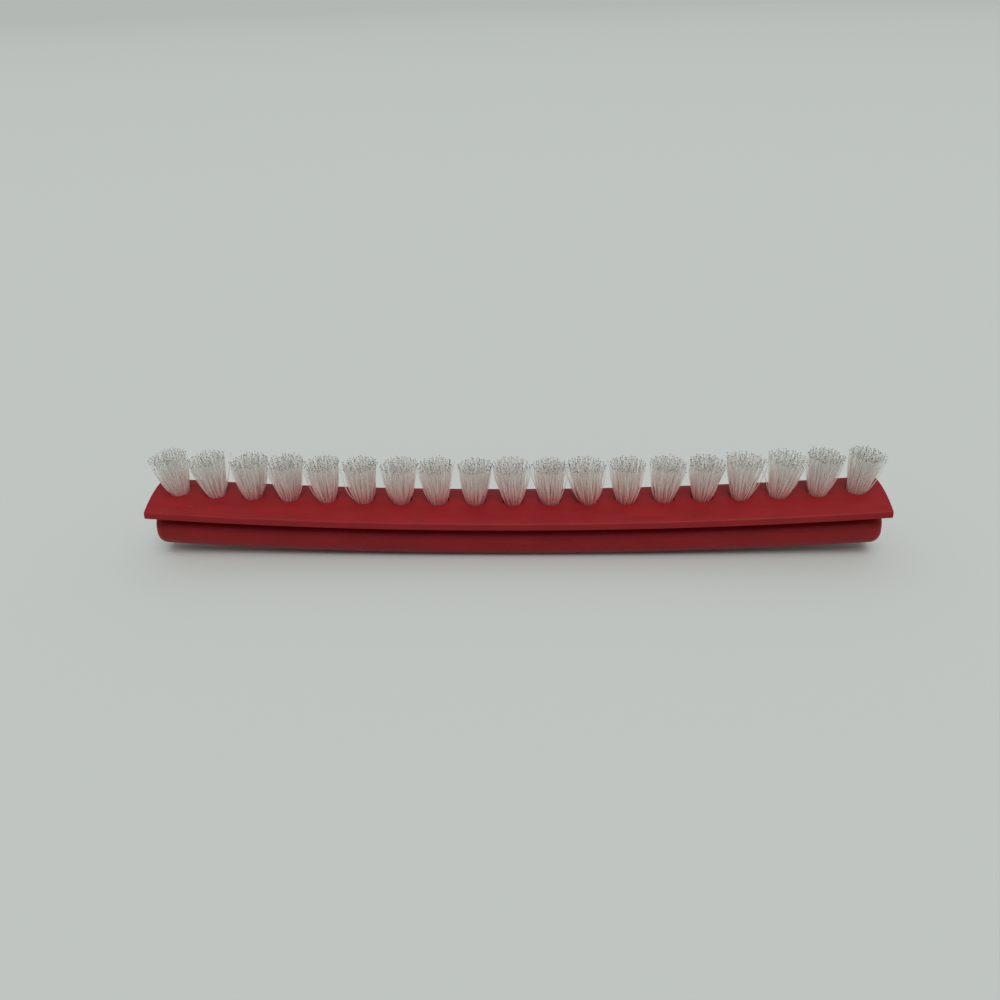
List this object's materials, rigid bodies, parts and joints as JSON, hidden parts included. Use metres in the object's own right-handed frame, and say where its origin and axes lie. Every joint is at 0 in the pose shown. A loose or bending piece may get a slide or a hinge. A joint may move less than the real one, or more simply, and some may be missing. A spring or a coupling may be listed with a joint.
{
  "type": "pool wall brush strip",
  "caption": "Bowed plastic strip with a domed flange over a slide-in rail, carrying one row of short clear bristle tufts, for scrubbing pool walls.",
  "frame": {"origin": "middle of the rail's underside, the point the loose strip rests on", "axes": "+X along the strip, +Z out through the bristles, +Y across the flange"},
  "size_m": [0.1922, 0.0163, 0.0287],
  "materials": {
    "strip_plastic": "satin moulded polypropylene",
    "bristle_nylon": "clear to milky nylon filament",
    "anchor_steel": "flat-rolled stainless wire"
  },
  "bodies": {
    "root": {"brush_strip": "strip_plastic", "tuft_01": "bristle_nylon", "tuft_02": "bristle_nylon", "tuft_03": "bristle_nylon", "tuft_04": "bristle_nylon", "tuft_05": "bristle_nylon", "tuft_06": "bristle_nylon", "tuft_07": "bristle_nylon", "tuft_08": "bristle_nylon", "tuft_09": "bristle_nylon", "tuft_10": "bristle_nylon", "tuft_11": "bristle_nylon", "tuft_12": "bristle_nylon", "tuft_13": "bristle_nylon", "tuft_14": "bristle_nylon", "tuft_15": "bristle_nylon", "tuft_16": "bristle_nylon", "tuft_17": "bristle_nylon", "tuft_18": "bristle_nylon", "tuft_19": "bristle_nylon", "anchor_01": "anchor_steel", "anchor_02": "anchor_steel", "anchor_03": "anchor_steel", "anchor_04": "anchor_steel", "anchor_05": "anchor_steel", "anchor_06": "anchor_steel", "anchor_07": "anchor_steel", "anchor_08": "anchor_steel", "anchor_09": "anchor_steel", "anchor_10": "anchor_steel", "anchor_11": "anchor_steel", "anchor_12": "anchor_steel", "anchor_13": "anchor_steel", "anchor_14": "anchor_steel", "anchor_15": "anchor_steel", "anchor_16": "anchor_steel", "anchor_17": "anchor_steel", "anchor_18": "anchor_steel", "anchor_19": "anchor_steel"}
  },
  "joints": []
}
